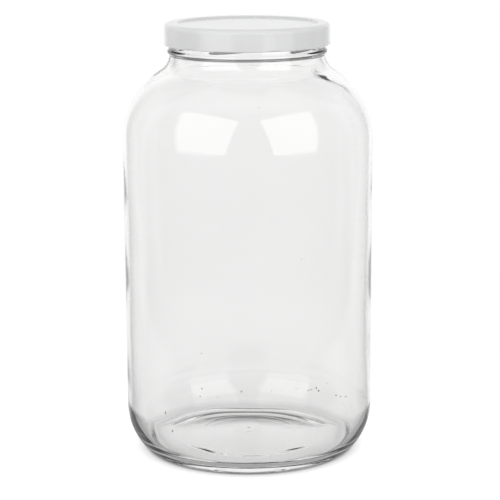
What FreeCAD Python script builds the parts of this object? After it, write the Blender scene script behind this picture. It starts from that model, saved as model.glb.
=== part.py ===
import FreeCAD, Part
import Sketcher
import os
from math import acos, atan2, cos, degrees, dist, radians, sin, sqrt
from types import SimpleNamespace

# A wide-necked glass storage jar, shut with a pressed tinplate lug cap.
#
#   jar       one piece of pressed-and-blown glass: straight round body, domed shoulder, short
#             neck, carrying ring, thread ridges for the lid's lugs, and a domed base
#   lid       one piece of lacquered tinplate: recessed panel, raised ring over the rim, plain
#             skirt, rolled curl, and lugs pressed in from the curl
#   lid_seal  the ring of sealing compound that lies between the lid and the glass rim
#
# Frame: millimetres, +Z up, origin on the jar's axis in the plane that the jar stands on.
# Each piece is drawn about its own Z axis, then turned and raised by its Placement.

SIZES = [
    # name, value (millimetres, or degrees for a turn, angle or sweep), what it is
    ("jar_height", 297.6, "standing plane to the top of the glass rim"),
    ("body_diameter", 172.0, "outside of the straight side"),
    ("side_wall", 3.6, "glass thickness of side and shoulder"),
    ("base_thickness", 5.0, "glass thickness on the axis"),
    ("punt_depth", 4.5, "rise of the underside on the axis"),
    ("bearing_width", 4.3, "flat ring that the jar stands on"),
    ("knuckle_radius", 6.0, "small outside radius beside the bearing ring"),
    ("heel_radius", 42.0, "large outside radius between base and side"),
    ("heel_height", 31.0, "where the straight side starts"),
    ("inner_heel_height", 34.0, "where the straight inside starts"),
    ("inner_corner_radius", 12.0, "inside radius between floor and heel"),
    ("floor_dome_radius", 780.0, "radius of the gently domed inside floor"),
    ("shoulder_radius", 53.5, "outside radius of the shoulder"),
    ("neck_diameter", 106.6, "outside of the plain neck"),
    ("neck_fillet", 13.0, "outside radius between shoulder and neck"),
    ("finish_height", 20.3, "rim down to the start of the neck fillet"),
    ("finish_wall", 4.0, "glass thickness of the neck"),
    ("rim_round", 1.6, "radius of both edges of the rim"),
    ("ring_projection", 1.5, "carrying ring, out from the plain neck"),
    ("ring_section_radius", 1.7, "rounding of the carrying ring"),
    ("ring_drop", 18.1, "rim down to the middle of the carrying ring"),
    ("thread_count", 6, "thread ridges on the neck, and lugs on the lid"),
    ("thread_projection", 1.6, "thread ridge, out from the plain neck"),
    ("thread_section_radius", 1.45, "rounding of a thread ridge"),
    ("thread_lead", 33.0, "rise of a thread ridge in one whole turn"),
    ("thread_angle", 58.0, "turn of one thread ridge between its round ends"),
    ("thread_end_ease", 0.04, "how much less than the ridge its round ends measure"),
    ("jar_turn", 4.5, "turn of the jar about its axis"),
    ("skirt_gap", 1.65, "thread ridges to the inside of the lid's skirt"),
    ("lid_height", 15.0, "lower edge of the lid to the top of its ring"),
    ("lid_sheet", 0.25, "tinplate thickness"),
    ("lid_corner", 3.5, "outside radius between ring and skirt"),
    ("panel_inset", 2.7, "bore in to the edge of the recessed panel's flat"),
    ("panel_drop", 1.2, "ring down to the panel"),
    ("panel_fillet", 1.0, "upper radius where the panel turns up"),
    ("panel_shoulder", 1.25, "upper radius where it turns over into the ring"),
    ("curl_radius", 0.8, "outside radius of the rolled edge"),
    ("curl_sweep", 280.0, "how far round the edge is rolled"),
    ("lug_tip_gap", 0.3, "lug tip to the plain neck"),
    ("lug_thickness", 1.2, "height of a lug"),
    ("lug_angle", 17.0, "turn that one lug spans"),
    ("lug_advance", 44.0, "turn from a ridge's low end to the middle of its lug"),
    ("lug_clearance", 0.15, "lug's top to the ridge that it has run under"),
    ("dent_radius", 26.0, "radius of the dent that the lug press leaves outside"),
    ("dent_height", 1.3, "how far that dent reaches up the skirt"),
    ("dent_angle", 45.0, "slope at which the press comes in"),
    ("seal_thickness", 1.0, "compound between the lid's ring and the rim"),
    ("seal_overhang", 0.4, "compound past the bore, towards the axis"),
    ("seal_round", 0.3, "radius of the compound's lower edges"),
]
v = SimpleNamespace(**{name: float(value) for name, value, _ in SIZES})

# Lengths that several pieces share, as expressions over the sheet.
SIDE = "Sizes.body_diameter / 2"
NECK = "Sizes.neck_diameter / 2"
BORE = f"({NECK} - Sizes.finish_wall)"
THREAD_CENTRE = f"({NECK} + Sizes.thread_projection - Sizes.thread_section_radius)"
SKIRT = f"({NECK} + Sizes.thread_projection + Sizes.skirt_gap + Sizes.lid_sheet)"
LID_BOTTOM = "(Sizes.jar_height + Sizes.seal_thickness + Sizes.lid_sheet - Sizes.lid_height)"
# A ridge starts so low that it comes down on the near end of the lug that has run under it.
THREAD_LOW = (
    f"({LID_BOTTOM} + Sizes.curl_radius + Sizes.lug_thickness / 2 + Sizes.lug_clearance"
    " + Sizes.thread_section_radius"
    " - Sizes.thread_lead * (Sizes.lug_advance - Sizes.lug_angle / 2) / 360)"
)
THREAD_RISE = "Sizes.thread_lead * Sizes.thread_angle / 360"

# The same lengths as numbers: the places where the sketches' edges start.
side = v.body_diameter / 2
neck = v.neck_diameter / 2
bore = neck - v.finish_wall
skirt = neck + v.thread_projection + v.skirt_gap + v.lid_sheet
lid_bottom = v.jar_height + v.seal_thickness + v.lid_sheet - v.lid_height
thread_centre = neck + v.thread_projection - v.thread_section_radius
thread_low = (
    lid_bottom + v.curl_radius + v.lug_thickness / 2 + v.lug_clearance + v.thread_section_radius
    - v.thread_lead * (v.lug_advance - v.lug_angle / 2) / 360
)

doc = FreeCAD.newDocument("LugJar")


def fill_sheet():
    """Write the driving sizes: name, value under an alias, and meaning."""
    sheet = doc.addObject("Spreadsheet::Sheet", "Sizes")
    for row, (name, value, meaning) in enumerate(SIZES, start=1):
        sheet.set(f"A{row}", name)
        sheet.set(f"B{row}", str(value))
        sheet.set(f"C{row}", meaning)
        sheet.setAlias(f"B{row}", name)
    doc.recompute()


def meeting(first, first_radius, second, second_radius):
    """Where two circles meet, on the side farther from the axis."""
    gap = dist(first, second)
    along = (first_radius**2 - second_radius**2 + gap**2) / (2 * gap)
    across = sqrt(first_radius**2 - along**2)
    x, z = ((b - a) / gap for a, b in zip(first, second))
    both = [
        (first[0] + along * x - turn * z, first[1] + along * z + turn * x)
        for turn in (across, -across)
    ]
    return max(both)


class Outline:
    """A closed outline in a body's XZ plane: edges drawn in order and joined end to end.

    The edges start near their final places, and dimensions then tie them to the sheet.
    """

    ORIGIN = (-1, 1)
    CENTRE = 3

    def __init__(self, body, name):
        plane = next(f for f in body.Origin.OriginFeatures if f.Role == "XZ_Plane")
        self.sketch = body.newObject("Sketcher::SketchObject", name)
        self.sketch.AttachmentSupport = [(plane, "")]
        self.sketch.MapMode = "FlatFace"
        self.enter = []
        self.leave = []

    def line(self, start, end):
        """A straight edge."""
        segment = Part.LineSegment(FreeCAD.Vector(*start), FreeCAD.Vector(*end))
        edge = self.sketch.addGeometry(segment)
        self.enter.append((edge, 1))
        self.leave.append((edge, 2))
        return edge

    def arc(self, centre, radius, enter_angle, leave_angle):
        """An arc run through from one angle to the other, in degrees, either way round."""
        circle = Part.Circle(FreeCAD.Vector(*centre), FreeCAD.Vector(0, 0, 1), radius)
        low, high = sorted((radians(enter_angle), radians(leave_angle)))
        edge = self.sketch.addGeometry(Part.ArcOfCircle(circle, low, high))
        forward = leave_angle > enter_angle
        self.enter.append((edge, 1 if forward else 2))
        self.leave.append((edge, 2 if forward else 1))
        return edge

    def rule(self, kind, *where):
        """A constraint with no size."""
        self.sketch.addConstraint(Sketcher.Constraint(kind, *where))

    def close(self, sharp):
        """Join each edge to the next: at a corner after the edges listed, else smoothly."""
        count = len(self.enter)
        for edge in range(count):
            kind = "Coincident" if edge in sharp else "Tangent"
            self.rule(kind, *self.leave[edge], *self.enter[(edge + 1) % count])

    def bind(self, constraint, expression):
        """Add a dimension and bind it to an expression over the sheet."""
        index = self.sketch.addConstraint(constraint)
        name = f"size_{index}"
        self.sketch.renameConstraint(index, name)
        self.sketch.setExpression(f"Constraints.{name}", expression)

    def radius(self, edge, expression):
        """Bind an arc's radius."""
        start = self.sketch.Geometry[edge].Radius
        self.bind(Sketcher.Constraint("Radius", edge, start), expression)

    def across(self, point, expression):
        """Bind a point's distance from the axis."""
        start = self.sketch.getPoint(*point).x
        self.bind(Sketcher.Constraint("DistanceX", *self.ORIGIN, *point, start), expression)

    def above(self, point, expression):
        """Bind a point's height over the body's own origin."""
        start = self.sketch.getPoint(*point).y
        self.bind(Sketcher.Constraint("DistanceY", *self.ORIGIN, *point, start), expression)

    def on_axis(self, *point):
        """Keep a point on the body's own Z axis."""
        self.rule("PointOnObject", *point, -2)

    def on_ground(self, *point):
        """Keep a point in the body's own XY plane."""
        self.rule("PointOnObject", *point, -1)


def revolve(body, outline, name, angle=None):
    """A solid of revolution about the body's Z axis, whole or centred on the sketch plane."""
    feature = body.newObject("PartDesign::Revolution", name)
    feature.Profile = outline.sketch
    feature.ReferenceAxis = (outline.sketch, ["V_Axis"])
    feature.Angle = 360
    if angle:
        feature.Midplane = True
        feature.setExpression("Angle", angle)
    return feature


def pattern_round(body, features, outline, name):
    """Repeat features round the body's Z axis, once for each thread ridge."""
    pattern = body.newObject("PartDesign::PolarPattern", name)
    pattern.Originals = features
    pattern.Axis = (outline.sketch, ["V_Axis"])
    pattern.Angle = 360
    pattern.setExpression("Occurrences", "Sizes.thread_count")
    body.Tip = pattern
    return pattern


def new_body(label):
    """An empty body whose Label names its file."""
    body = doc.addObject("PartDesign::Body", label)
    body.Label = label
    return body


def place(body, height=None, turn=None):
    """Raise a body and turn it about Z, both by expressions over the sheet."""
    body.Placement = FreeCAD.Placement(
        FreeCAD.Vector(0, 0, 0), FreeCAD.Rotation(FreeCAD.Vector(0, 0, 1), 1)
    )
    body.setExpression("Placement.Base.z", height or "0")
    body.setExpression("Placement.Rotation.Angle", f"({turn or '0'}) * 1 deg")


def jar_outline(body):
    """Half the glass, from the axis out along the underside, up, and back down the inside."""
    o = Outline(body, "jar_outline")

    # Underside: domed punt, flat bearing ring, small knuckle, large heel.
    heel_x = side - v.heel_radius
    reach = v.heel_radius - v.knuckle_radius
    rise = v.heel_height - v.knuckle_radius
    knuckle_x = heel_x + sqrt(reach**2 - rise**2)
    meet = degrees(atan2(-rise, knuckle_x - heel_x))
    bearing = knuckle_x - v.bearing_width
    punt_radius = (bearing**2 + v.punt_depth**2) / (2 * v.punt_depth)
    punt_centre = v.punt_depth - punt_radius
    punt_end = degrees(atan2(-punt_centre, bearing))
    punt = o.arc((0, punt_centre), punt_radius, 90, punt_end)
    foot = o.line((bearing, 0), (knuckle_x, 0))
    knuckle = o.arc((knuckle_x, v.knuckle_radius), v.knuckle_radius, -90, meet)
    heel = o.arc((heel_x, v.heel_height), v.heel_radius, meet, 0)

    # Side, shoulder and neck fillet, whose top is fixed from the rim down.
    shoulder_x = side - v.shoulder_radius
    fillet_x = neck + v.neck_fillet
    fillet_z = v.jar_height - v.finish_height
    span = v.shoulder_radius + v.neck_fillet
    shoulder_z = fillet_z - sqrt(span**2 - (fillet_x - shoulder_x) ** 2)
    turn = degrees(atan2(fillet_z - shoulder_z, fillet_x - shoulder_x))
    wall = o.line((side, v.heel_height), (side, shoulder_z))
    shoulder = o.arc((shoulder_x, shoulder_z), v.shoulder_radius, 0, turn)
    fillet = o.arc((fillet_x, fillet_z), v.neck_fillet, turn + 180, 180)

    # Finish: plain neck, carrying ring, plain neck under the threads, rounded rim.
    ring_x = neck + v.ring_projection - v.ring_section_radius
    ring_z = v.jar_height - v.ring_drop
    ring_end = degrees(acos((neck - ring_x) / v.ring_section_radius))
    ring_half = v.ring_section_radius * sin(radians(ring_end))
    rim_z = v.jar_height - v.rim_round
    below = o.line((neck, fillet_z), (neck, ring_z - ring_half))
    ring = o.arc((ring_x, ring_z), v.ring_section_radius, -ring_end, ring_end)
    above = o.line((neck, ring_z + ring_half), (neck, rim_z))
    rim_out = o.arc((neck - v.rim_round, rim_z), v.rim_round, 0, 90)
    rim = o.line((neck - v.rim_round, v.jar_height), (bore + v.rim_round, v.jar_height))
    rim_in = o.arc((bore + v.rim_round, rim_z), v.rim_round, 90, 180)

    # Inside: bore, neck fillet, shoulder, side, heel and domed floor.
    inside = side - v.side_wall
    inner_span = v.shoulder_radius - v.side_wall + v.neck_fillet + v.finish_wall
    inner_fillet_z = shoulder_z + sqrt(inner_span**2 - (fillet_x - shoulder_x) ** 2)
    inner_turn = degrees(atan2(inner_fillet_z - shoulder_z, fillet_x - shoulder_x))
    floor_z = v.punt_depth + v.base_thickness
    dome_z = floor_z - v.floor_dome_radius
    inner_reach = v.heel_radius - v.side_wall
    corner = meeting(
        (heel_x, v.inner_heel_height), inner_reach - v.inner_corner_radius,
        (0, dome_z), v.floor_dome_radius + v.inner_corner_radius,
    )
    corner_turn = degrees(atan2(corner[1] - v.inner_heel_height, corner[0] - heel_x))
    dome_turn = degrees(atan2(corner[1] - dome_z, corner[0]))
    throat = o.line((bore, rim_z), (bore, inner_fillet_z))
    inner_fillet = o.arc(
        (fillet_x, inner_fillet_z), v.neck_fillet + v.finish_wall, 180, 180 + inner_turn
    )
    inner_shoulder = o.arc(
        (shoulder_x, shoulder_z), v.shoulder_radius - v.side_wall, inner_turn, 0
    )
    inner_wall = o.line((inside, shoulder_z), (inside, v.inner_heel_height))
    inner_heel = o.arc((heel_x, v.inner_heel_height), inner_reach, 0, corner_turn)
    inner_corner = o.arc(corner, v.inner_corner_radius, corner_turn, dome_turn - 180)
    dome = o.arc((0, dome_z), v.floor_dome_radius, dome_turn, 90)
    core = o.line((0, floor_z), (0, v.punt_depth))

    o.close(sharp=(punt, below, ring, dome, core))
    o.on_axis(punt, o.CENTRE)
    o.on_axis(dome, o.CENTRE)
    o.on_axis(*o.enter[core])
    o.on_axis(*o.leave[core])
    o.on_ground(*o.enter[foot])
    o.on_ground(*o.leave[foot])
    for edge in (wall, below, above, throat, inner_wall):
        o.rule("Vertical", edge)
    o.rule("Horizontal", rim)
    o.rule("Coincident", inner_shoulder, o.CENTRE, shoulder, o.CENTRE)

    o.above(o.enter[punt], "Sizes.punt_depth")
    o.bind(
        Sketcher.Constraint("DistanceX", *o.enter[foot], *o.leave[foot], v.bearing_width),
        "Sizes.bearing_width",
    )
    o.radius(knuckle, "Sizes.knuckle_radius")
    o.radius(heel, "Sizes.heel_radius")
    o.above(o.enter[wall], "Sizes.heel_height")
    o.across(o.enter[wall], SIDE)
    o.radius(shoulder, "Sizes.shoulder_radius")
    o.radius(fillet, "Sizes.neck_fillet")
    o.above(o.enter[below], "Sizes.jar_height - Sizes.finish_height")
    o.across(o.enter[below], NECK)
    o.across(o.enter[above], NECK)
    o.radius(ring, "Sizes.ring_section_radius")
    o.above((ring, o.CENTRE), "Sizes.jar_height - Sizes.ring_drop")
    o.across((ring, o.CENTRE), f"{NECK} + Sizes.ring_projection - Sizes.ring_section_radius")
    o.radius(rim_out, "Sizes.rim_round")
    o.radius(rim_in, "Sizes.rim_round")
    o.above(o.enter[rim], "Sizes.jar_height")
    o.across(o.enter[throat], BORE)
    o.radius(inner_fillet, "Sizes.neck_fillet + Sizes.finish_wall")
    o.across(o.enter[inner_wall], f"{SIDE} - Sizes.side_wall")
    o.above(o.leave[inner_wall], "Sizes.inner_heel_height")
    o.radius(inner_heel, "Sizes.heel_radius - Sizes.side_wall")
    o.radius(inner_corner, "Sizes.inner_corner_radius")
    o.radius(dome, "Sizes.floor_dome_radius")
    o.above(o.enter[core], "Sizes.punt_depth + Sizes.base_thickness")
    return o


def ball(body, kind, name, centre, radius, ties, turn=None):
    """Add or cut a ball: half a disc revolved about its own upright diameter.

    centre and radius are where the sketch starts, and ties are the expressions for the centre's
    distance from the axis, its height, and the radius. turn carries the ball round the Z axis.
    """
    across, above, size = ties
    x, z = centre
    o = Outline(body, f"{name}_section")
    if turn:
        o.sketch.AttachmentOffset = FreeCAD.Placement(
            FreeCAD.Vector(0, 0, 0), FreeCAD.Rotation(FreeCAD.Vector(0, 1, 0), 1)
        )
        o.sketch.setExpression("AttachmentOffset.Rotation.Angle", turn)
    rim = o.arc(centre, radius, 90, 270)
    diameter = o.line((x, z - radius), (x, z + radius))
    o.close(sharp=(rim, diameter))
    o.rule("Vertical", diameter)
    o.rule("PointOnObject", rim, o.CENTRE, diameter)
    o.across((rim, o.CENTRE), across)
    o.above((rim, o.CENTRE), above)
    o.radius(rim, size)
    feature = body.newObject(kind, name)
    feature.Profile = o.sketch
    feature.ReferenceAxis = (o.sketch, ["Edge2"])
    feature.Angle = 360
    return feature


def add_threads(body):
    """Thread ridges: a round section run up a helix, with a ball to round off each end."""
    o = Outline(body, "thread_section")
    circle = Part.Circle(
        FreeCAD.Vector(thread_centre, thread_low, 0),
        FreeCAD.Vector(0, 0, 1),
        v.thread_section_radius,
    )
    section = o.sketch.addGeometry(circle)
    o.radius(section, "Sizes.thread_section_radius")
    o.across((section, o.CENTRE), THREAD_CENTRE)
    o.above((section, o.CENTRE), THREAD_LOW)
    ridge = body.newObject("PartDesign::AdditiveHelix", "thread_ridge")
    ridge.Profile = o.sketch
    ridge.ReferenceAxis = (o.sketch, ["V_Axis"])
    ridge.Mode = "pitch-turns-angle"
    ridge.setExpression("Pitch", "Sizes.thread_lead")
    ridge.setExpression("Turns", "Sizes.thread_angle / 360")

    # The balls are a hair smaller than the ridge, to meet its flat ends in a clean circle.
    radius = v.thread_section_radius - v.thread_end_ease
    rise = v.thread_lead * v.thread_angle / 360
    size = "Sizes.thread_section_radius - Sizes.thread_end_ease"
    kind = "PartDesign::Revolution"
    low_end = ball(
        body, kind, "thread_low_end", (thread_centre, thread_low), radius,
        ties=(THREAD_CENTRE, THREAD_LOW, size),
    )
    high_end = ball(
        body, kind, "thread_high_end", (thread_centre, thread_low + rise), radius,
        ties=(THREAD_CENTRE, f"{THREAD_LOW} + {THREAD_RISE}", size),
        turn="Sizes.thread_angle * 1 deg",
    )
    pattern_round(body, [ridge, low_end, high_end], o, "thread_ridges")


def make_jar():
    """The glass: one revolved wall with the thread ridges on its neck."""
    body = new_body("jar")
    glass = jar_outline(body)
    revolve(body, glass, "glass_wall")
    add_threads(body)
    place(body, turn="Sizes.jar_turn")
    return body


def lid_outline(body):
    """Half the tinplate: along the top and down to the curl, then back along the inside."""
    o = Outline(body, "lid_outline")
    sheet = v.lid_sheet
    top = v.lid_height
    panel = top - v.panel_drop

    # The panel turns up and over into the ring in two arcs, with no straight between them.
    fold_x = bore - v.panel_inset
    bend = v.panel_fillet + v.panel_shoulder
    ring_x = fold_x + sqrt(bend**2 - (bend - v.panel_drop) ** 2)
    lean = degrees(atan2(v.panel_drop - bend, ring_x - fold_x))
    panel_top = o.line((0, panel), (fold_x, panel))
    fold = o.arc((fold_x, panel + v.panel_fillet), v.panel_fillet, -90, lean)
    brow = o.arc((ring_x, top - v.panel_shoulder), v.panel_shoulder, 180 + lean, 90)

    corner_x = skirt - v.lid_corner
    corner_z = top - v.lid_corner
    ring_top = o.line((ring_x, top), (corner_x, top))
    corner = o.arc((corner_x, corner_z), v.lid_corner, 90, 0)
    skirt_out = o.line((skirt, corner_z), (skirt, v.curl_radius))

    # The curl rolls in and up from the foot of the skirt.
    curl_x = skirt - v.curl_radius
    curl_in = v.curl_radius - sheet
    end = radians(-v.curl_sweep)
    curl = o.arc((curl_x, v.curl_radius), v.curl_radius, 0, -v.curl_sweep)
    curl_end = o.line(
        (curl_x + v.curl_radius * cos(end), v.curl_radius + v.curl_radius * sin(end)),
        (curl_x + curl_in * cos(end), v.curl_radius + curl_in * sin(end)),
    )
    curl_inside = o.arc((curl_x, v.curl_radius), curl_in, -v.curl_sweep, 0)

    skirt_in = o.line((skirt - sheet, v.curl_radius), (skirt - sheet, corner_z))
    corner_in = o.arc((corner_x, corner_z), v.lid_corner - sheet, 0, 90)
    ring_under = o.line((corner_x, top - sheet), (ring_x, top - sheet))
    brow_in = o.arc((ring_x, top - v.panel_shoulder), v.panel_shoulder - sheet, 90, 180 + lean)
    fold_in = o.arc((fold_x, panel + v.panel_fillet), v.panel_fillet + sheet, lean, -90)
    panel_under = o.line((fold_x, panel - sheet), (0, panel - sheet))
    middle = o.line((0, panel - sheet), (0, panel))

    o.close(sharp=(curl, curl_end, panel_under, middle))
    for edge in (panel_top, ring_top, ring_under, panel_under):
        o.rule("Horizontal", edge)
    for edge in (skirt_out, skirt_in, middle):
        o.rule("Vertical", edge)
    for inner, outer in (
        (curl_inside, curl),
        (corner_in, corner),
        (brow_in, brow),
        (fold_in, fold),
    ):
        o.rule("Coincident", inner, o.CENTRE, outer, o.CENTRE)
    o.on_axis(*o.enter[middle])
    o.rule("PointOnObject", curl, o.CENTRE, curl_end)

    o.above(o.enter[panel_top], "Sizes.lid_height - Sizes.panel_drop")
    o.across(o.leave[panel_top], f"{BORE} - Sizes.panel_inset")
    o.radius(fold, "Sizes.panel_fillet")
    o.radius(brow, "Sizes.panel_shoulder")
    o.above(o.enter[ring_top], "Sizes.lid_height")
    o.radius(corner, "Sizes.lid_corner")
    o.across(o.enter[skirt_out], SKIRT)
    o.above(o.leave[skirt_out], "Sizes.curl_radius")
    o.radius(curl, "Sizes.curl_radius")
    o.across(o.enter[skirt_in], f"{SKIRT} - Sizes.lid_sheet")
    o.bind(
        Sketcher.Constraint("Angle", curl, radians(v.curl_sweep)),
        "Sizes.curl_sweep * 1 deg",
    )
    return o


def lug_outline(body):
    """A lug's section: a tongue of flattened curl, round at its tip, from mid-sheet inwards."""
    o = Outline(body, "lug_outline")
    half = v.lug_thickness / 2
    tip_x = neck + v.lug_tip_gap + half
    root_x = skirt - v.lid_sheet / 2
    low = v.curl_radius - half
    high = v.curl_radius + half
    under = o.line((tip_x, low), (root_x, low))
    root = o.line((root_x, low), (root_x, high))
    over = o.line((root_x, high), (tip_x, high))
    tip = o.arc((tip_x, v.curl_radius), half, 90, 270)

    o.close(sharp=(under, root))
    o.rule("Horizontal", under)
    o.rule("Vertical", root)
    o.rule("Horizontal", over)
    o.across(o.enter[root], f"{SKIRT} - Sizes.lid_sheet / 2")
    o.radius(tip, "Sizes.lug_thickness / 2")
    o.above((tip, o.CENTRE), "Sizes.curl_radius")
    o.across((tip, o.CENTRE), f"{NECK} + Sizes.lug_tip_gap + Sizes.lug_thickness / 2")
    return o


def make_lid():
    """The tinplate lid: one revolved sheet, with a lug and a press dent for each ridge."""
    body = new_body("lid")
    sheet = lid_outline(body)
    revolve(body, sheet, "pressed_sheet")
    lug_section = lug_outline(body)
    lug = revolve(body, lug_section, "lug", angle="Sizes.lug_angle * 1 deg")
    slope = radians(v.dent_angle)
    dent = ball(
        body, "PartDesign::Groove", "press_dent",
        (skirt + v.dent_radius * cos(slope), v.dent_height - v.dent_radius * sin(slope)),
        v.dent_radius,
        ties=(
            f"{SKIRT} + Sizes.dent_radius * cos(Sizes.dent_angle * 1 deg)",
            "Sizes.dent_height - Sizes.dent_radius * sin(Sizes.dent_angle * 1 deg)",
            "Sizes.dent_radius",
        ),
    )
    pattern_round(body, [lug, dent], sheet, "lugs")
    place(body, height=LID_BOTTOM, turn="Sizes.jar_turn + Sizes.lug_advance")
    return body


def make_seal():
    """The sealing compound: a flat ring under the lid's ring, resting on the glass rim."""
    body = new_body("lid_seal")
    o = Outline(body, "seal_outline")
    inner = bore - v.seal_overhang
    outer = skirt - v.lid_corner
    corner = v.seal_round
    height = v.seal_thickness
    under = o.line((inner + corner, 0), (outer - corner, 0))
    outer_edge = o.arc((outer - corner, corner), corner, -90, 0)
    outside = o.line((outer, corner), (outer, height))
    over = o.line((outer, height), (inner, height))
    inside = o.line((inner, height), (inner, corner))
    inner_edge = o.arc((inner + corner, corner), corner, 180, 270)

    o.close(sharp=(outside, over))
    o.rule("Vertical", outside)
    o.rule("Horizontal", over)
    o.rule("Vertical", inside)
    o.on_ground(*o.enter[under])
    o.on_ground(*o.leave[under])
    o.across(o.enter[outside], f"{SKIRT} - Sizes.lid_corner")
    o.above(o.leave[outside], "Sizes.seal_thickness")
    o.across(o.enter[inside], f"{BORE} - Sizes.seal_overhang")
    o.radius(outer_edge, "Sizes.seal_round")
    o.radius(inner_edge, "Sizes.seal_round")
    revolve(body, o, "compound_ring")
    place(body, height="Sizes.jar_height")
    return body


def check(bodies):
    """Stop unless every object is sound and each body is one valid solid."""
    for item in doc.Objects:
        if "Invalid" in item.State or "Error" in item.State:
            raise RuntimeError(f"{item.Name} failed: {item.State}")
        if item.isDerivedFrom("Sketcher::SketchObject") and not item.FullyConstrained:
            raise RuntimeError(f"{item.Name} is not fully constrained")
    for body in bodies:
        shape = body.Shape
        if shape.isNull() or not shape.isValid() or len(shape.Solids) != 1:
            raise RuntimeError(f"{body.Label} is not one valid solid")


def check_volumes():
    """Stop if a feature that adds or cuts changed nothing."""
    for name, sign in (("thread_ridges", 1), ("lug", 1), ("press_dent", -1), ("lugs", 1)):
        feature = doc.getObject(name)
        change = feature.Shape.Volume - feature.BaseFeature.Shape.Volume
        if change * sign <= 0:
            raise RuntimeError(f"{name} changed the volume by {change:.3f} mm3")


fill_sheet()
bodies = [make_jar(), make_lid(), make_seal()]
doc.recompute()
check(bodies)
check_volumes()
os.makedirs("parts", exist_ok=True)
for body in bodies:
    body.Shape.exportStep(f"parts/{body.Label}.step")
    print(body.Label, round(body.Shape.Volume), "mm3")
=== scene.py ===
import math

import bmesh
import bpy
import numpy as np
from mathutils import Euler, Matrix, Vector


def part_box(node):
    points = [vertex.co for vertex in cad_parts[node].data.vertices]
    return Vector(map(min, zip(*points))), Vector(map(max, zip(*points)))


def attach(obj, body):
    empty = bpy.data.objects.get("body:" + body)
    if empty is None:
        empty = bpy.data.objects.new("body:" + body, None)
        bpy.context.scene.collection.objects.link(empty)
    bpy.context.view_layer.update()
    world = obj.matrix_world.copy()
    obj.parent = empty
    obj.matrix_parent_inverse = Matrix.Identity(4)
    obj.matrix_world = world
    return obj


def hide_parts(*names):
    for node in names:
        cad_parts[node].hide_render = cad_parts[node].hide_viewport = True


# A clear, empty, wide-mouth glass jar with its white lug lid on, on a pale table in front of a
# white backdrop. The lid and its seal are the CAD parts themselves. The glass is drawn again
# from the same sizes, with soft beads, an uneven inside, seeds and mould marks.

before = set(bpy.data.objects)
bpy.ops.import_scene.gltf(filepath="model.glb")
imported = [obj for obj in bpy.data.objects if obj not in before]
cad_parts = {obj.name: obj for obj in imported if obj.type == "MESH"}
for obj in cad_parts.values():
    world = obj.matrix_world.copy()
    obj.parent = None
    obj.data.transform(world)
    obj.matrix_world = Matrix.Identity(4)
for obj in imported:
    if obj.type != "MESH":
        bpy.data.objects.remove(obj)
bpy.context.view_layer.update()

MM = 0.001

# ---------------------------------------------------------------------------- glass: sizes

# In millimetres and degrees.
_, jar_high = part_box("jar")
HEIGHT = jar_high.z / MM
SIDE = 86.0
SIDE_WALL = 3.6
BASE_THICKNESS = 5.0
PUNT_DEPTH = 4.5
BEARING_WIDTH = 4.3
KNUCKLE_RADIUS = 6.0
HEEL_RADIUS = 42.0
HEEL_HEIGHT = 31.0
INNER_CORNER_RADIUS = 12.0
INNER_HEEL_HEIGHT = 34.0
FLOOR_DOME_RADIUS = 780.0
SHOULDER_RADIUS = 53.5
NECK = 53.3
NECK_FILLET = 13.0
FINISH_HEIGHT = 20.3
FINISH_WALL = 4.0
RIM_ROUND = 1.6

RING_PROJECTION = 1.5
RING_SPREAD = 2.2
RING_DROP = 18.1

THREAD_COUNT = 6
THREAD_PROJECTION = 1.6
THREAD_SPREAD = 2.0
THREAD_LEAD = 33.0
THREAD_ANGLE = 58.0
THREAD_LOW = 283.6
JAR_TURN = 4.5

# How finely the glass is drawn: steps round it, the fewest along any bend of its section, and
# the longest step along each stretch, short where it bends most or carries relief.
AROUND = 256
FEWEST_STEPS = 3
PUNT_STEP = 3.0
FOOT_STEP = 1.5
KNUCKLE_STEP = 0.8
SIDE_STEP = 16.0
SHOULDER_STEP = 1.6
FILLET_STEP = 0.9
FINISH_STEP = 0.42
RIM_STEP = 0.6
RIM_ROUND_STEP = 0.35
BORE_STEP = 1.5
INNER_BEND_STEP = 1.2
INNER_SIDE_STEP = 4.0
INNER_CORNER_STEP = 1.0
FLOOR_STEP = 1.1


# ---------------------------------------------------------------------------- small helpers


def arc(centre, radius, enter, leave, step):
    """Points along an arc from one angle to the other, in degrees, the last one left out."""
    length = radius * abs(math.radians(leave - enter))
    count = max(FEWEST_STEPS, math.ceil(length / step))
    turns = [math.radians(enter + (leave - enter) * i / count) for i in range(count)]
    return [(centre[0] + radius * math.cos(t), centre[1] + radius * math.sin(t)) for t in turns]


def line(start, end, step):
    """Points along a straight stretch, the last one left out."""
    length = math.dist(start, end)
    count = max(1, math.ceil(length / step))
    return [
        (start[0] + (end[0] - start[0]) * i / count, start[1] + (end[1] - start[1]) * i / count)
        for i in range(count)
    ]


def meeting(first, first_radius, second, second_radius):
    """Where two circles meet, on the side farther from the axis."""
    gap = math.dist(first, second)
    along = (first_radius**2 - second_radius**2 + gap**2) / (2 * gap)
    across = math.sqrt(first_radius**2 - along**2)
    unit = ((second[0] - first[0]) / gap, (second[1] - first[1]) / gap)
    both = [
        (first[0] + along * unit[0] - turn * unit[1], first[1] + along * unit[1] + turn * unit[0])
        for turn in (across, -across)
    ]
    return max(both)


def bead(distance, spread):
    """The rounded section of a bead: 1 on its crest, and 0 from its foot, at spread, on."""
    t = np.clip(distance / spread, 0, 1)
    return (1 - t * t) ** 1.5


def apart(turns, middle):
    """The turn from middle, the short way round, in radians."""
    return np.angle(np.exp(1j * (turns - middle)))


def hump(places, middle, reach):
    """A bell curve: 1 at its middle, and about a third one reach away."""
    return np.exp(-(((places - middle) / reach) ** 2))


def new_object(name, data):
    """An object over mesh, lamp or camera data, in the scene."""
    item = bpy.data.objects.new(name, data)
    bpy.context.collection.objects.link(item)
    return item


# ---------------------------------------------------------------------------- glass: form


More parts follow.
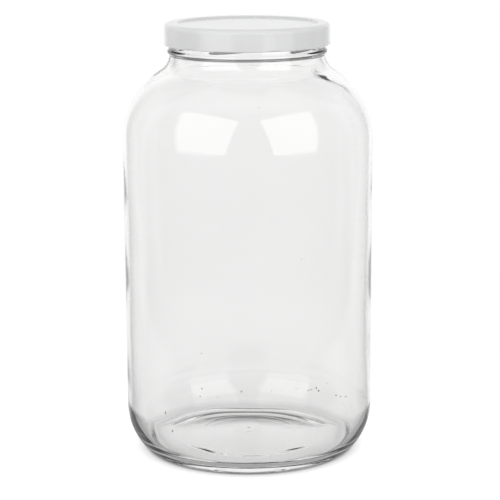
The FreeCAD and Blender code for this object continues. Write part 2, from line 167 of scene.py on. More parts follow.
def outer_section():
    """The glass from the axis under the base, out, up the side and neck to the rim's top.

    The height where the shoulder starts is returned with the points.
    """
    heel_x = SIDE - HEEL_RADIUS
    reach = HEEL_RADIUS - KNUCKLE_RADIUS
    rise = HEEL_HEIGHT - KNUCKLE_RADIUS
    knuckle_x = heel_x + math.sqrt(reach**2 - rise**2)
    meet = math.degrees(math.atan2(-rise, knuckle_x - heel_x))
    bearing = knuckle_x - BEARING_WIDTH
    punt_radius = (bearing**2 + PUNT_DEPTH**2) / (2 * PUNT_DEPTH)
    punt_centre = PUNT_DEPTH - punt_radius
    punt_end = math.degrees(math.atan2(-punt_centre, bearing))

    shoulder_x = SIDE - SHOULDER_RADIUS
    fillet_x = NECK + NECK_FILLET
    fillet_z = HEIGHT - FINISH_HEIGHT
    span = SHOULDER_RADIUS + NECK_FILLET
    shoulder_z = fillet_z - math.sqrt(span**2 - (fillet_x - shoulder_x) ** 2)
    turn = math.degrees(math.atan2(fillet_z - shoulder_z, fillet_x - shoulder_x))
    rim_z = HEIGHT - RIM_ROUND

    points = arc((0, punt_centre), punt_radius, 90, punt_end, PUNT_STEP)
    points += line((bearing, 0), (knuckle_x, 0), FOOT_STEP)
    points += arc((knuckle_x, KNUCKLE_RADIUS), KNUCKLE_RADIUS, -90, meet, KNUCKLE_STEP)
    points += arc((heel_x, HEEL_HEIGHT), HEEL_RADIUS, meet, 0, FOOT_STEP)
    points += line((SIDE, HEEL_HEIGHT), (SIDE, shoulder_z), SIDE_STEP)
    points += arc((shoulder_x, shoulder_z), SHOULDER_RADIUS, 0, turn, SHOULDER_STEP)
    points += arc((fillet_x, fillet_z), NECK_FILLET, turn + 180, 180, FILLET_STEP)
    points += line((NECK, fillet_z), (NECK, rim_z), FINISH_STEP)
    points += arc((NECK - RIM_ROUND, rim_z), RIM_ROUND, 0, 90, RIM_ROUND_STEP)
    return points, shoulder_z


def inner_section(shoulder_z):
    """The glass from the rim's top down the bore and side to the middle of the floor."""
    bore = NECK - FINISH_WALL
    inside = SIDE - SIDE_WALL
    rim_z = HEIGHT - RIM_ROUND
    shoulder_x = SIDE - SHOULDER_RADIUS
    fillet_x = NECK + NECK_FILLET
    span = SHOULDER_RADIUS - SIDE_WALL + NECK_FILLET + FINISH_WALL
    fillet_z = shoulder_z + math.sqrt(span**2 - (fillet_x - shoulder_x) ** 2)
    turn = math.degrees(math.atan2(fillet_z - shoulder_z, fillet_x - shoulder_x))
    floor_z = PUNT_DEPTH + BASE_THICKNESS
    dome_z = floor_z - FLOOR_DOME_RADIUS
    heel_x = SIDE - HEEL_RADIUS
    heel_reach = HEEL_RADIUS - SIDE_WALL
    corner = meeting((heel_x, INNER_HEEL_HEIGHT), heel_reach - INNER_CORNER_RADIUS,
                     (0, dome_z), FLOOR_DOME_RADIUS + INNER_CORNER_RADIUS)
    heel_turn = math.degrees(math.atan2(corner[1] - INNER_HEEL_HEIGHT, corner[0] - heel_x))
    dome_turn = math.degrees(math.atan2(corner[1] - dome_z, corner[0]))
    inner_fillet = NECK_FILLET + FINISH_WALL
    inner_shoulder = SHOULDER_RADIUS - SIDE_WALL

    points = line((NECK - RIM_ROUND, HEIGHT), (bore + RIM_ROUND, HEIGHT), RIM_STEP)
    points += arc((bore + RIM_ROUND, rim_z), RIM_ROUND, 90, 180, RIM_ROUND_STEP)
    points += line((bore, rim_z), (bore, fillet_z), BORE_STEP)
    points += arc((fillet_x, fillet_z), inner_fillet, 180, 180 + turn, INNER_BEND_STEP)
    points += arc((shoulder_x, shoulder_z), inner_shoulder, turn, 0, SHOULDER_STEP)
    points += line((inside, shoulder_z), (inside, INNER_HEEL_HEIGHT), INNER_SIDE_STEP)
    points += arc((heel_x, INNER_HEEL_HEIGHT), heel_reach, 0, heel_turn, INNER_BEND_STEP)
    points += arc(corner, INNER_CORNER_RADIUS, heel_turn, dome_turn - 180, INNER_CORNER_STEP)
    points += arc((0, dome_z), FLOOR_DOME_RADIUS, dome_turn, 90, FLOOR_STEP)
    points.append((0, floor_z))
    return points


# The unevenness that blowing leaves inside, as waves: how many go round the jar, and their pitch
# up it and their weight in millimetres. Broad ones lie all over, and sharper ones mostly at the
# shoulder and the heel.
BROAD_WAVES = ((2, 190, 0.22), (3, 120, 0.16), (5, 85, 0.10), (8, 60, 0.05))
SHARP_WAVES = ((7, 34, 0.10), (11, 26, 0.07), (17, 17, 0.030))
WAVE_SWAY = 0.8
RANDOM_SEED = 11
# How strong the sharp waves are everywhere, and what is added in bands: height and reach in
# millimetres, and strength.
SHARP_LEVEL = 0.12
SHARP_BANDS = ((262, 13, 1.5), (18, 14, 0.9))
# Where the glass gathers at the shoulder: turn and reach in degrees, and height, reach and depth
# in millimetres.
SHOULDER_PADS = ((199, 24, 258, 12, 0.35), (341, 13, 263, 8, 1.0), (331, 7, 265, 5, 0.6))


def ripple(turns, heights, waves, rng):
    """A smooth unevenness in millimetres, without a seam, from waves that sway as they rise."""
    total = np.zeros_like(turns)
    for round_it, pitch, weight in waves:
        phase, drift, lean = rng.uniform(0, 2 * math.pi, 3)
        sway = WAVE_SWAY * np.sin(heights / pitch + lean)
        rise = np.cos(2 * math.pi * heights / pitch + drift)
        total += weight * np.cos(round_it * turns + phase + sway) * rise
    return total


def wall_relief(turns, heights):
    """How far the inner surface strays from the true form, towards the axis, in millimetres."""
    rng = np.random.default_rng(RANDOM_SEED)
    broad = ripple(turns, heights, BROAD_WAVES, rng)
    sharp = ripple(turns, heights, SHARP_WAVES, rng)
    strength = SHARP_LEVEL
    for height, reach, more in SHARP_BANDS:
        strength = strength + more * hump(heights, height, reach)
    relief = broad + sharp * strength
    for middle, reach, height, rise, depth in SHOULDER_PADS:
        off = np.degrees(apart(turns, math.radians(middle))) / reach
        relief += depth * np.exp(-(off**2) - ((heights - height) / rise) ** 2)
    return relief


# What shaping leaves on the floor inside, in millimetres. Rings: radius, half width and height.
BASE_RINGS = ((34.0, 0.9, 0.05), (57.5, 2.4, 0.08))
RING_WANDER = 0.5
# Strokes beside the outer ring: middle turn and half length in degrees, then radius, half width
# and height.
BASE_STROKES = ((238, 26, 56.5, 3.4, 1.7), (272, 16, 58.5, 2.2, 1.3), (303, 23, 56.5, 2.9, 1.5))
# The bump in the middle: radius and height.
BASE_BUMP = (14, 0.35)
# All of it is kept to less than this above the floor's middle.
FLOOR_REACH = 2.5


def base_relief(radii, turns, heights):
    """How far the rings, the strokes and the middle bump rise from the jar's floor."""
    on_floor = heights < PUNT_DEPTH + BASE_THICKNESS + FLOOR_REACH
    rise = np.zeros_like(radii)
    for radius, width, height in BASE_RINGS:
        wander = RING_WANDER * np.sin(2 * turns + radius)
        rise += height * bead(np.abs(radii - radius - wander), width)
    for middle, reach, radius, width, height in BASE_STROKES:
        off = np.degrees(np.abs(apart(turns, math.radians(middle))))
        rise += height * bead(off, reach) * bead(np.abs(radii - radius), width)
    bump_radius, bump_height = BASE_BUMP
    rise += bump_height * bead(radii, bump_radius)
    return np.where(on_floor, rise, 0)


def finish_relief(turns, heights):
    """How far the carrying ring and the thread ridges stand out from the plain neck."""
    relief = RING_PROJECTION * bead(np.abs(heights - (HEIGHT - RING_DROP)), RING_SPREAD)
    length = NECK * math.radians(THREAD_ANGLE)
    rise = THREAD_LEAD * THREAD_ANGLE / 360
    whole = math.hypot(length, rise)
    for ridge in range(THREAD_COUNT):
        start = math.radians(JAR_TURN + 360 * ridge / THREAD_COUNT)
        middle = start + math.radians(THREAD_ANGLE) / 2
        along = NECK * apart(turns, middle) + length / 2
        up = heights - THREAD_LOW
        share = np.clip((along * length + up * rise) / whole**2, 0, 1)
        gap = np.hypot(along - share * length, up - share * rise)
        relief = np.maximum(relief, THREAD_PROJECTION * bead(gap, THREAD_SPREAD))
    return relief


# The neck's beads are drawn down to this far below the straight neck.
FINISH_MARGIN = 0.5
# The inside is even in the neck and on the axis, and its unevenness grows over these lengths.
NECK_BLEND = 8
AXIS_BLEND = 40


def make_glass():
    """The jar's glass as one closed mesh, in metres."""
    outer, shoulder_z = outer_section()
    inner = inner_section(shoulder_z)
    section = np.array(outer + inner)
    rows = len(section)
    turns = np.arange(AROUND) * (2 * math.pi / AROUND)
    radii = np.repeat(section[:, :1], AROUND, axis=1)
    heights = np.repeat(section[:, 1:], AROUND, axis=1)
    row_turns = np.broadcast_to(turns, radii.shape)

    is_outer = (np.arange(rows) < len(outer))[:, None]
    neck_rows = is_outer & (heights > HEIGHT - FINISH_HEIGHT - FINISH_MARGIN)
    radii = radii + np.where(neck_rows, finish_relief(row_turns, heights), 0)
    below_neck = np.clip((HEIGHT - FINISH_HEIGHT - heights) / NECK_BLEND, 0, 1)
    off_axis = np.clip(radii / AXIS_BLEND, 0, 1)
    inside_relief = wall_relief(row_turns, heights) * below_neck * off_axis
    radii = radii - np.where(is_outer, 0, inside_relief)
    heights = heights + np.where(is_outer, 0, base_relief(radii, row_turns, heights))

    # The section's two ends lie on the axis, so each is one point and not a ring.
    mesh = bpy.data.meshes.new("glass_jar")
    cos, sin = np.cos(row_turns), np.sin(row_turns)
    body = np.stack([radii * cos, radii * sin, heights], axis=-1)[1:-1].reshape(-1, 3)
    poles = np.array([[0, 0, section[0, 1]], [0, 0, section[-1, 1]]])
    verts = np.concatenate([body, poles]) * MM
    faces = []
    for row in range(rows - 3):
        low, high = row * AROUND, (row + 1) * AROUND
        for i in range(AROUND):
            j = (i + 1) % AROUND
            faces.append((low + i, low + j, high + j, high + i))
    first, last = len(body), len(body) + 1
    top = (rows - 3) * AROUND
    for i in range(AROUND):
        j = (i + 1) % AROUND
        faces.append((first, j, i))
        faces.append((top + i, top + j, last))
    mesh.from_pydata(verts.tolist(), [], faces)
    mesh.validate()
    mesh.shade_smooth()
    return new_object("glass_jar", mesh)


# How deep seeds lie under the inner surface, in millimetres, and half their reach across the
# wall, as a share of their width.
SEED_DEPTH = 0.9
SEED_FLATNESS = 0.35
# Each seed's lean is made up from its turn: times the rate, modulo the most, in degrees.
SEED_LEAN_RATE = 12
SEED_LEAN_MOST = 40
# How finely a seed's round shape is divided.
SEED_DIVISIONS = 2
# Seeds in the wall: turn from +X in degrees, height and width in millimetres, and how many times
# as long as wide.
SEEDS = (
    (248.2, 62.3, 0.9, 1.1), (247.3, 56.8, 0.8, 1.0), (255.7, 57.4, 0.6, 1.2),
    (266.6, 61.9, 0.8, 1.3), (280.3, 61.7, 0.5, 1.4), (292.1, 62.0, 0.7, 0.6),
    (298.1, 59.6, 1.0, 0.7), (299.6, 59.8, 0.8, 1.0), (302.4, 60.2, 0.9, 1.5),
    (303.7, 58.0, 1.0, 1.3), (308.7, 62.0, 0.6, 1.0), (314.2, 51.9, 1.0, 1.2),
    (317.4, 50.1, 1.0, 0.9), (321.1, 48.7, 1.1, 0.8), (227.9, 41.1, 0.7, 3.4),
    (232.1, 29.2, 1.0, 1.3), (205.0, 97.0, 0.6, 1.3), (338.0, 142.0, 0.6, 1.2),
    (18.0, 190.0, 0.7, 1.5), (151.0, 205.0, 0.7, 1.2), (84.0, 230.0, 0.6, 1.4),
    (116.0, 46.0, 0.7, 1.3), (62.0, 118.0, 0.6, 1.2),
)


def make_seeds():
    """The tiny seeds that blown glass has, just under its inner surface."""
    shell = bmesh.new()
    radius = SIDE - SIDE_WALL + SEED_DEPTH
    for turn, height, size, longer in SEEDS:
        t = math.radians(turn)
        tip = math.radians(SEED_LEAN_RATE * turn % SEED_LEAN_MOST)
        place = Matrix.Translation((radius * math.cos(t), radius * math.sin(t), height))
        lean = Matrix.Rotation(t, 4, "Z") @ Matrix.Rotation(tip, 4, "X")
        shape = Matrix.Diagonal((size * SEED_FLATNESS, size / 2, size * longer / 2, 1))
        bmesh.ops.create_icosphere(shell, subdivisions=SEED_DIVISIONS, radius=1,
                                   matrix=Matrix.Scale(MM, 4) @ place @ lean @ shape)
    mesh = bpy.data.meshes.new("glass_seeds")
    shell.to_mesh(mesh)
    shell.free()
    mesh.shade_smooth()
    return new_object("glass_seeds", mesh)


# ---------------------------------------------------------------------------- materials


# Tones are (place, colour) stops along a noise, and the shadow's along the turn from facing to
# edge-on. A noise is its scale, its detail and its stretch along X, Y and Z. A bump is its
# strength, and its height in metres.
EVEN = (1, 1, 1)
GLASS_IOR = 1.52
GLASS_TINTS = ((0.3, (0.9935, 0.9940, 0.9930)), (0.7, (0.9975, 0.9975, 0.9960)))
GLASS_STREAKS = (18.0, 3.0, (1, 1, 0.25))
GLASS_SWIRL = (55.0, 1.0, (1, 1, 0.4))
GLASS_SWIRL_BUMP = (0.35, 0.00012)
GLASS_EDGE = 0.5
GLASS_SHADOW = ((0.25, (0.93, 0.93, 0.93)), (0.9, (0.35, 0.35, 0.35)))

# A seed's colour is dark: painted shade for the dark look a small bubble in glass has by bending
# light.
SEED_PAINTED_DARK_TONES = ((0.35, (0.10, 0.10, 0.10)), (0.65, (0.22, 0.22, 0.21)))
SEED_GRAIN = (900.0, 2.0, EVEN)
SEED_ROUGHNESS = 0.35

LACQUER_IOR = 1.5
LACQUER_TONES = ((0.35, (0.770, 0.772, 0.775)), (0.65, (0.800, 0.802, 0.803)))
LACQUER_CLOUDS = (30.0, 4.0, EVEN)
LACQUER_SCUFFS = (320.0, 6.0, (0.15, 1, 1))
LACQUER_SCUFF_RANGE = (0.45, 0.75)
LACQUER_ROUGHNESS = (0.10, 0.22)
LACQUER_PEEL = (420.0, 2.0, EVEN)
LACQUER_PEEL_BUMP = (0.25, 0.00006)

COMPOUND_TONES = ((0.35, (0.74, 0.73, 0.70)), (0.65, (0.82, 0.81, 0.79)))
COMPOUND_CLOUDS = (140.0, 3.0, EVEN)
COMPOUND_GRAIN = (900.0, 2.0, EVEN)
COMPOUND_GRAIN_BUMP = (0.3, 0.0001)
COMPOUND_ROUGHNESS = 0.5


def new_material(name):
    """An empty node material, with its nodes and its links."""
    material = bpy.data.materials.new(name)
    material.use_nodes = True
    nodes = material.node_tree.nodes
    nodes.clear()
    return material, nodes, material.node_tree.links


def mix_shaders(nodes, links, share, first, second):
    """A Mix Shader node over a share and two shaders."""
    mix = nodes.new("ShaderNodeMixShader")
    links.new(share, mix.inputs["Fac"])
    links.new(first, mix.inputs[1])
    links.new(second, mix.inputs[2])
    return mix.outputs[0]


def surface_bump(nodes, links, texture, strength, height):
    """A Bump node over a texture's factor. height is in metres."""
    bump = nodes.new("ShaderNodeBump")
    bump.inputs["Strength"].default_value = strength
    bump.inputs["Distance"].default_value = height
    links.new(texture, bump.inputs["Height"])
    return bump.outputs["Normal"]


def noise(nodes, links, place, scale, detail, stretch):
    """Noise over a place, finer with scale, and drawn out along an axis with a small stretch."""
    mapping = nodes.new("ShaderNodeMapping")
    mapping.inputs["Scale"].default_value = stretch
    links.new(place, mapping.inputs["Vector"])
    texture = nodes.new("ShaderNodeTexNoise")
    texture.inputs["Scale"].default_value = scale
    texture.inputs["Detail"].default_value = detail
    links.new(mapping.outputs[0], texture.inputs["Vector"])
    return texture.outputs["Fac"]


def blend_colours(nodes, links, share, stops):
    """A colour read from (place, colour) stops."""
    ramp = nodes.new("ShaderNodeValToRGB")
    points = ramp.color_ramp.elements
    while len(points) < len(stops):
        points.new(0.5)
    for point, (place, colour) in zip(points, stops):
        point.position = place
        point.color = (*colour, 1)
    links.new(share, ramp.inputs["Fac"])
    return ramp.outputs["Color"]


def glass_material():
    """Clear container glass, faintly streaked and swirled.

    Shadow rays pass straight through it, darker at the edges, so its shadow is faint.
    """
    material, nodes, links = new_material("clear_glass")
    output = nodes.new("ShaderNodeOutputMaterial")
    place = nodes.new("ShaderNodeTexCoord").outputs["Object"]
    glass = nodes.new("ShaderNodeBsdfGlass")
    glass.inputs["Roughness"].default_value = 0.0
    glass.inputs["IOR"].default_value = GLASS_IOR
    streaks = noise(nodes, links, place, *GLASS_STREAKS)
    links.new(blend_colours(nodes, links, streaks, GLASS_TINTS), glass.inputs["Color"])
    swirl = noise(nodes, links, place, *GLASS_SWIRL)
    links.new(surface_bump(nodes, links, swirl, *GLASS_SWIRL_BUMP), glass.inputs["Normal"])
    clear = nodes.new("ShaderNodeBsdfTransparent")
    edge = nodes.new("ShaderNodeLayerWeight")
    edge.inputs["Blend"].default_value = GLASS_EDGE
    links.new(blend_colours(nodes, links, edge.outputs["Facing"], GLASS_SHADOW),
              clear.inputs["Color"])
    path = nodes.new("ShaderNodeLightPath")
    mix = mix_shaders(nodes, links, path.outputs["Is Shadow Ray"], glass.outputs[0],
                      clear.outputs[0])
    links.new(mix, output.inputs["Surface"])
    return material


def seed_material():
    """A seed in the glass as a dark, slightly glossy speck: painted shade for how a bubble bends
    light.
    """
    material, nodes, links = new_material("glass_seed")
    output = nodes.new("ShaderNodeOutputMaterial")
    speck = nodes.new("ShaderNodeBsdfPrincipled")
    place = nodes.new("ShaderNodeTexCoord").outputs["Object"]
    grain = noise(nodes, links, place, *SEED_GRAIN)
    links.new(blend_colours(nodes, links, grain, SEED_PAINTED_DARK_TONES), speck.inputs["Base Color"])
    speck.inputs["Roughness"].default_value = SEED_ROUGHNESS
    links.new(speck.outputs[0], output.inputs["Surface"])
    return material


def lacquer_material():
    """Glossy white lacquer over tinplate: orange peel, a slight cloudiness, fine scuffs."""
    material, nodes, links = new_material("white_lacquer")
    output = nodes.new("ShaderNodeOutputMaterial")
    place = nodes.new("ShaderNodeTexCoord").outputs["Object"]
    paint = nodes.new("ShaderNodeBsdfPrincipled")
    clouds = noise(nodes, links, place, *LACQUER_CLOUDS)
    links.new(blend_colours(nodes, links, clouds, LACQUER_TONES), paint.inputs["Base Color"])
    scuffs = noise(nodes, links, place, *LACQUER_SCUFFS)
    rough = nodes.new("ShaderNodeMapRange")
    links.new(scuffs, rough.inputs["Value"])
    sockets = ("From Min", "From Max", "To Min", "To Max")
    for socket, value in zip(sockets, LACQUER_SCUFF_RANGE + LACQUER_ROUGHNESS):
        rough.inputs[socket].default_value = value
    links.new(rough.outputs[0], paint.inputs["Roughness"])
    peel = noise(nodes, links, place, *LACQUER_PEEL)
    links.new(surface_bump(nodes, links, peel, *LACQUER_PEEL_BUMP), paint.inputs["Normal"])
    paint.inputs["IOR"].default_value = LACQUER_IOR
    links.new(paint.outputs[0], output.inputs["Surface"])
    return material


def compound_material():
    """The soft, matt sealing compound inside the lid, with the fine grain of a poured ring."""
    material, nodes, links = new_material("sealing_compound")
    output = nodes.new("ShaderNodeOutputMaterial")
    place = nodes.new("ShaderNodeTexCoord").outputs["Object"]
    rubber = nodes.new("ShaderNodeBsdfPrincipled")
    clouds = noise(nodes, links, place, *COMPOUND_CLOUDS)
    links.new(blend_colours(nodes, links, clouds, COMPOUND_TONES), rubber.inputs["Base Color"])
    rubber.inputs["Roughness"].default_value = COMPOUND_ROUGHNESS
    grain = noise(nodes, links, place, *COMPOUND_GRAIN)
    links.new(surface_bump(nodes, links, grain, *COMPOUND_GRAIN_BUMP), rubber.inputs["Normal"])
    links.new(rubber.outputs[0], output.inputs["Surface"])
    return material


def assign(piece, material):
    """One material all over a piece."""
    piece.data.materials.clear()
    piece.data.materials.append(material)


# ---------------------------------------------------------------------------- studio

# What gloss sees round the jar, by the turn from the backdrop's middle (+Y) in degrees: a white
# backdrop, its greyer wings, and the dark studio in front.
ROOM_BY_TURN = ((0, 1.0), (27, 1.0), (38, 0.60), (70, 0.60), (79, 0.22), (110, 0.08), (180, 0.0))
# The same by height: the backdrop ends above, in degrees over the horizon.
ROOM_BY_LIFT = ((0, 1.0), (28, 1.0), (50, 0.1), (90, 0.1))
# What shows through the glass, by the sine of a ray's lift: a little greyer towards the table.
BACKDROP_BY_LIFT = ((-1.0, 0.86), (-0.32, 0.90), (-0.22, 0.96), (-0.1, 1.0), (1.0, 1.03))
# Light on matt surfaces: a level all round, and more from above.
FILL_LEVEL = 0.29
FILL_ABOVE = 0.66


def add(nodes, kind, **settings):
    """A node with its settings."""
    node = nodes.new(kind)
    for name, value in settings.items():
        setattr(node, name, value)
    return node


def maths(nodes, links, operation, first, second=None):
    """A Math node over sockets or numbers."""
    node = add(nodes, "ShaderNodeMath", operation=operation)
    for socket, value in zip(node.inputs, (first, second)):
        if value is None:
            continue
        if isinstance(value, (int, float)):
            socket.default_value = value
        else:
            links.new(value, socket)
    return node.outputs[0]


def curve(nodes, links, value, stops):
    """A level read from (value, level) stops, with straight runs between them."""
    low, high = stops[0][0], stops[-1][0]
    top = max(level for _, level in stops)
    scaled = maths(nodes, links, "DIVIDE", maths(nodes, links, "SUBTRACT", value, low), high - low)
    greys = [((place - low) / (high - low), (level / top,) * 3) for place, level in stops]
    return maths(nodes, links, "MULTIPLY", blend_colours(nodes, links, scaled, greys), top)


# The least sideways offset that counts, as metres on the table or as part of a direction. It
# keeps the step from backdrop to dark studio soft right beside the jar.
SECTOR_BLEND = 0.03
# Light Path counts whole bounces, so a count over this is one bounce or more.
ANY_BOUNCE = 0.5


def seen_tone(nodes, links, vector, inset=0.0):
    """What gloss and glass see in a direction, or at a place on the table.

    For a place, inset is the jar's radius, because reflections leave from the jar's sides.
    Returned are the Light Path node, the vector's Z, how white gloss sees the room there, and 1
    for a ray that has met no gloss: it sees the backdrop, from whichever side it comes.
    """
    path = nodes.new("ShaderNodeLightPath")
    split = nodes.new("ShaderNodeSeparateXYZ")
    links.new(vector, split.inputs[0])
    across = maths(nodes, links, "ABSOLUTE", split.outputs["X"])
    across = maths(nodes, links, "SUBTRACT", across, inset)
    across = maths(nodes, links, "MAXIMUM", across, SECTOR_BLEND)
    turn = maths(nodes, links, "ARCTAN2", across, split.outputs["Y"])
    turn = maths(nodes, links, "DEGREES", turn)
    room = curve(nodes, links, turn, ROOM_BY_TURN)
    passed = maths(nodes, links, "LESS_THAN", path.outputs["Glossy Depth"], ANY_BOUNCE)
    return path, split.outputs["Z"], room, passed


def choose(nodes, links, share, first, second):
    """first where share is 0, second where it is 1."""
    kept = maths(nodes, links, "MULTIPLY", first, maths(nodes, links, "SUBTRACT", 1.0, share))
    return maths(nodes, links, "ADD", kept, maths(nodes, links, "MULTIPLY", second, share))


def matt_share(nodes, links, path):
    """1 for light on its way from a matt surface, also where glass bends it."""
    return maths(nodes, links, "GREATER_THAN", path.outputs["Diffuse Depth"], ANY_BOUNCE)


def make_world():
    """White backdrop with a dark studio in front of it, and a soft fill for matt surfaces."""
    world = bpy.data.worlds.new("studio")
    bpy.context.scene.world = world
    world.use_nodes = True
    # The tone differs by kind of ray, which direct sampling of the world would mix up.
    world.cycles.sampling_method = "NONE"
    nodes, links = world.node_tree.nodes, world.node_tree.links
    nodes.clear()
    output = nodes.new("ShaderNodeOutputWorld")
    place = nodes.new("ShaderNodeTexCoord")
    path, rise, room, passed = seen_tone(nodes, links, place.outputs["Generated"])
    lift = maths(nodes, links, "DEGREES", maths(nodes, links, "ARCSINE", rise))
    room = maths(nodes, links, "MULTIPLY", room, curve(nodes, links, lift, ROOM_BY_LIFT))
    seen = choose(nodes, links, passed, room, curve(nodes, links, rise, BACKDROP_BY_LIFT))
    seen = maths(nodes, links, "MAXIMUM", seen, path.outputs["Is Camera Ray"])
    above = maths(nodes, links, "MULTIPLY", maths(nodes, links, "MAXIMUM", rise, 0.0), FILL_ABOVE)
    fill = maths(nodes, links, "ADD", above, FILL_LEVEL)
    level = choose(nodes, links, matt_share(nodes, links, path), seen, fill)
    background = nodes.new("ShaderNodeBackground")
    background.inputs["Color"].default_value = (1, 1, 1, 1)
    links.new(level, background.inputs["Strength"])
    links.new(background.outputs[0], output.inputs["Surface"])


# The table's half width in metres, and its grey as matt surfaces see it.
FLOOR_HALF = 3.0
FLOOR_COLOUR = 0.72
# The table's own glow and matt share by the distance from the jar's axis, in metres, where the
# camera sees it and where it shows through glass. A level of 1 is white. Both are lowered near the
# jar: a painted contact shadow, dark under the foot, and painted shade round the jar through
# glass.
DIRECT_GLOW_AND_PAINTED_SHADOW = ((0, 0.02), (0.0705, 0.02), (0.074, 0.55), (0.081, 0.86), (0.12, 0.94),
               (0.30, 0.96), (0.60, 1.0))
DIRECT_MATT = ((0, 0.12), (0.0705, 0.12), (0.074, 0.40), (0.081, 0.30), (0.12, 0.16),
               (0.30, 0.08), (0.60, 0.0))
THROUGH_GLOW_AND_PAINTED_SHADE = ((0, 0.74), (0.055, 0.76), (0.066, 0.62), (0.074, 0.56), (0.085, 0.70),
                (0.15, 0.78), (0.40, 0.88), (0.80, 1.0), (1.6, 1.03))
THROUGH_MATT = ((0, 0.0), (0.055, 0.0), (0.066, 0.16), (0.074, 0.20), (0.085, 0.20),
                (0.15, 0.16), (0.40, 0.10), (0.80, 0.0), (1.6, 0.0))
# How white gloss sees the table at least, by the same distance.
TABLE_TONE = ((0, 0.6), (0.25, 0.6), (0.7, 0.0), (1.0, 0.0))


def make_floor():
    """A pale table top, near white to camera, gloss and glass, that keeps shadows. Near the jar it
    has a painted shadow under the foot and painted shade where it shows through the glass.
    """
    mesh = bpy.data.meshes.new("table_top")
    half = FLOOR_HALF
    mesh.from_pydata([(-half, -half, 0), (half, -half, 0), (half, half, 0), (-half, half, 0)], [],
                     [(0, 1, 2, 3)])
    floor = new_object("table_top", mesh)
    material, nodes, links = new_material("table_top")
    output = nodes.new("ShaderNodeOutputMaterial")
    place = nodes.new("ShaderNodeNewGeometry").outputs["Position"]
    path, _, room, passed = seen_tone(nodes, links, place, SIDE * MM)
    length = add(nodes, "ShaderNodeVectorMath", operation="LENGTH")
    links.new(place, length.inputs[0])
    away = length.outputs["Value"]
    tone = maths(nodes, links, "MAXIMUM", room, passed)
    tone = maths(nodes, links, "MAXIMUM", tone, curve(nodes, links, away, TABLE_TONE))
    direct = path.outputs["Is Camera Ray"]
    # Near the jar both are lowered: a painted shadow under the foot, and painted shade through
    # glass.
    glow = choose(nodes, links, direct, curve(nodes, links, away, THROUGH_GLOW_AND_PAINTED_SHADE),
                  curve(nodes, links, away, DIRECT_GLOW_AND_PAINTED_SHADOW))
    share = choose(nodes, links, direct, curve(nodes, links, away, THROUGH_MATT),
                   curve(nodes, links, away, DIRECT_MATT))

    emission = nodes.new("ShaderNodeEmission")
    links.new(maths(nodes, links, "MULTIPLY", glow, tone), emission.inputs["Strength"])
    seen_matt = nodes.new("ShaderNodeBsdfDiffuse")
    links.new(maths(nodes, links, "MULTIPLY", share, tone), seen_matt.inputs["Color"])
    seen = nodes.new("ShaderNodeAddShader")
    links.new(emission.outputs[0], seen.inputs[0])
    links.new(seen_matt.outputs[0], seen.inputs[1])
    matt = nodes.new("ShaderNodeBsdfDiffuse")
    matt.inputs["Color"].default_value = (FLOOR_COLOUR, FLOOR_COLOUR, FLOOR_COLOUR, 1)
    surface = mix_shaders(nodes, links, matt_share(nodes, links, path), seen.outputs[0],
                          matt.outputs[0])
    links.new(surface, output.inputs["Surface"])
    assign(floor, material)


# Two softboxes in front, in metres and degrees: side, turn from -Y, and width. Both lean over
# the jar.
SOFTBOXES = (("left", -42.8, 1.13), ("right", 43.0, 0.99))
SOFTBOX_HEIGHT = 1.13
SOFTBOX_DISTANCE = 1.05
SOFTBOX_MIDDLE = 0.52
SOFTBOX_TILT = 27.0
# A softbox's tone as a reflection, and the lower one at which it lights matt surfaces.
SOFTBOX_SEEN = 1.35
SOFTBOX_LIGHT = 0.90
# The share of its width and height over which a softbox fades out at each edge.
SOFTBOX_EDGE = 0.045
# The lamp that gives light stands this far behind the one that is seen in gloss.
SOFTBOX_STEP = 0.02


def soften_softbox(lamp):
    """Show a lamp only in reflections, fading towards its edges as a lit cloth does."""
    lamp.use_nodes = True
    nodes, links = lamp.node_tree.nodes, lamp.node_tree.links
    nodes.clear()
    output = nodes.new("ShaderNodeOutputLight")
    glow = nodes.new("ShaderNodeEmission")
    path = nodes.new("ShaderNodeLightPath")
    split = nodes.new("ShaderNodeSeparateXYZ")
    links.new(nodes.new("ShaderNodeNewGeometry").outputs["Parametric"], split.inputs[0])
    level = maths(nodes, links, "GREATER_THAN", path.outputs["Glossy Depth"], ANY_BOUNCE)
    # Across the lamp the place runs from 0 to 1, so an edge lies a half from the middle.
    half = 0.5
    for axis in ("X", "Y"):
        off = maths(nodes, links, "SUBTRACT", split.outputs[axis], half)
        off = maths(nodes, links, "ABSOLUTE", off)
        fade = add(nodes, "ShaderNodeMapRange", interpolation_type="SMOOTHSTEP")
        links.new(off, fade.inputs["Value"])
        fade.inputs["From Min"].default_value = half
        fade.inputs["From Max"].default_value = half - SOFTBOX_EDGE
        level = maths(nodes, links, "MULTIPLY", level, fade.outputs[0])
    links.new(level, glow.inputs["Strength"])
    links.new(glow.outputs[0], output.inputs["Surface"])


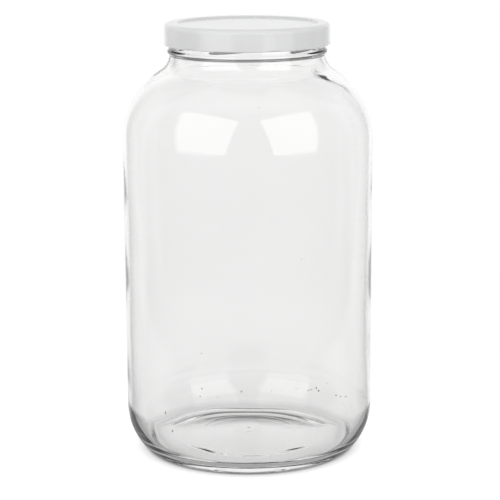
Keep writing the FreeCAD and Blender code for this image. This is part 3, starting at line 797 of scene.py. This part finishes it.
def make_softbox(name, turn, width, tone, mirrored):
    """A soft rectangular lamp that faces the jar. turn is its place round the jar from -Y.

    A mirrored one is only seen in gloss, with soft edges, and the other only gives light.
    """
    lamp = bpy.data.lights.new(name, "AREA")
    lamp.shape = "RECTANGLE"
    lamp.size = width
    lamp.size_y = SOFTBOX_HEIGHT
    lamp.energy = tone * math.pi * width * SOFTBOX_HEIGHT
    item = new_object(name, lamp)
    distance = SOFTBOX_DISTANCE + (0 if mirrored else SOFTBOX_STEP)
    t = math.radians(turn)
    item.location = (math.sin(t) * distance, -math.cos(t) * distance, SOFTBOX_MIDDLE)
    item.rotation_euler = (math.radians(90 - SOFTBOX_TILT), 0, t)
    item.visible_camera = False
    item.visible_diffuse = not mirrored
    item.visible_glossy = mirrored
    item.visible_transmission = mirrored
    if mirrored:
        soften_softbox(lamp)


def make_softboxes():
    """The left and right softboxes, each as a lamp and as what gloss sees of it."""
    for side, turn, width in SOFTBOXES:
        make_softbox(f"softbox_{side}_light", turn, width, SOFTBOX_LIGHT, mirrored=False)
        make_softbox(f"softbox_{side}_seen", turn, width, SOFTBOX_SEEN, mirrored=True)


# ---------------------------------------------------------------------------- camera

# Places in metres, angles in degrees, lens and sensor in millimetres.
CAMERA_DISTANCE = 1.2767
CAMERA_HEIGHT = 0.4159
CAMERA_SIDE = 0.0012
CAMERA_PITCH = 12.2
CAMERA_ROLL = -0.3
CAMERA_LENS = 134.47
CAMERA_SENSOR = 36.0
CAMERA_NEAR = 0.05
CAMERA_FAR = 50.0


def make_camera():
    """The camera, in front and a little above the lid, looking slightly down on the jar."""
    data = bpy.data.cameras.new("camera")
    data.sensor_width = CAMERA_SENSOR
    data.lens = CAMERA_LENS
    data.clip_start = CAMERA_NEAR
    data.clip_end = CAMERA_FAR
    camera = new_object("camera", data)
    camera.location = (CAMERA_SIDE, -CAMERA_DISTANCE, CAMERA_HEIGHT)
    aim = Euler((math.radians(90 - CAMERA_PITCH), 0, 0)).to_matrix()
    roll = Matrix.Rotation(math.radians(CAMERA_ROLL), 3, "Z")
    camera.rotation_euler = (aim @ roll).to_euler()
    bpy.context.scene.camera = camera


# ---------------------------------------------------------------------------- the scene

bpy.context.scene.view_settings.view_transform = "Standard"

glass = make_glass()
assign(glass, glass_material())
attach(glass, "root")
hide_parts("jar")

seeds = make_seeds()
assign(seeds, seed_material())
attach(seeds, "root")

assign(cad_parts["lid"], lacquer_material())
assign(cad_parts["lid_seal"], compound_material())

make_world()
make_floor()
make_softboxes()
make_camera()
